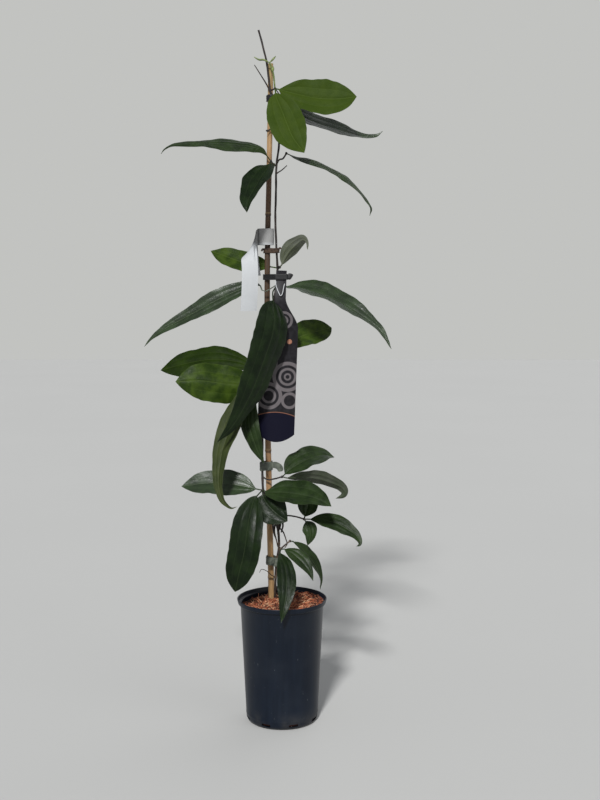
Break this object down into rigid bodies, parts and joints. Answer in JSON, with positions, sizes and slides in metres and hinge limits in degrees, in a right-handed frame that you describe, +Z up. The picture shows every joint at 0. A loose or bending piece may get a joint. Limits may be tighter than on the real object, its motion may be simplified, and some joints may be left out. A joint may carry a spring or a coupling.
{
  "type": "potted climbing plant on a cane",
  "caption": "Evergreen clematis with long leathery leaflets, tied to a bamboo cane in a round plastic nursery pot with bark mulch, a picture label and a paper tag.",
  "frame": {"origin": "middle of the pot's flat underside, on the surface it stands on", "axes": "+Z up along the cane, +X to the right and -Y to the front as the plant is shown"},
  "size_m": [0.3521, 0.148, 0.9853],
  "materials": {
    "pot_plastic": "dark blue-grey moulded polypropylene, satin, with faint scuffs",
    "bark_mulch": "reddish-brown bark chips over potting mix, rough",
    "bamboo": "dry tan bamboo with darker knots, slightly glossy skin",
    "stem_bark": "dark purplish-brown woody stem, matt",
    "young_shoot": "soft green new growth",
    "leaf": "dark green leathery leaf with three pale veins, glossy above and dull grey-green below",
    "black_tie": "black tying strip",
    "brown_tie": "brown paper-covered tie",
    "grey_tape": "grey-green stretch tying tape",
    "label_plastic": "thin printed label in charcoal and navy with grey and copper shapes, satin",
    "paper": "white coated paper tag, bare"
  },
  "bodies": {
    "root": {"pot": "pot_plastic", "growing_medium": "bark_mulch", "cane": "bamboo", "stem": "stem_bark", "young_shoot": "young_shoot", "tie_crown": "black_tie", "tie_wire": "black_tie", "tie_brown": "brown_tie", "tie_tape_upper": "grey_tape", "tie_tape_lower": "grey_tape", "label_strap": "black_tie", "picture_label": "label_plastic", "paper_tag": "paper", "crown_leaf_upper": "leaf", "crown_leaf_middle": "leaf", "crown_leaf_lower": "leaf", "second_leaf_left": "leaf", "second_leaf_right": "leaf", "second_leaf_front": "leaf", "third_leaf_left": "leaf", "third_leaf_raised": "leaf", "fourth_leaf_left": "leaf", "fourth_leaf_right": "leaf", "fourth_leaf_front": "leaf", "fifth_leaf_upper": "leaf", "fifth_leaf_lower": "leaf", "fifth_leaf_right": "leaf", "sixth_leaf_long": "leaf", "sixth_leaf_short": "leaf", "seventh_leaf_left": "leaf", "seventh_leaf_right": "leaf", "seventh_leaf_under": "leaf", "seventh_leaf_front": "leaf", "eighth_leaf_upper": "leaf", "eighth_leaf_lower": "leaf", "ninth_leaf_upper": "leaf", "ninth_leaf_hanging": "leaf", "ninth_leaf_right": "leaf", "tenth_leaf_right": "leaf", "tenth_leaf_middle": "leaf", "tenth_leaf_front": "leaf"}
  },
  "joints": []
}
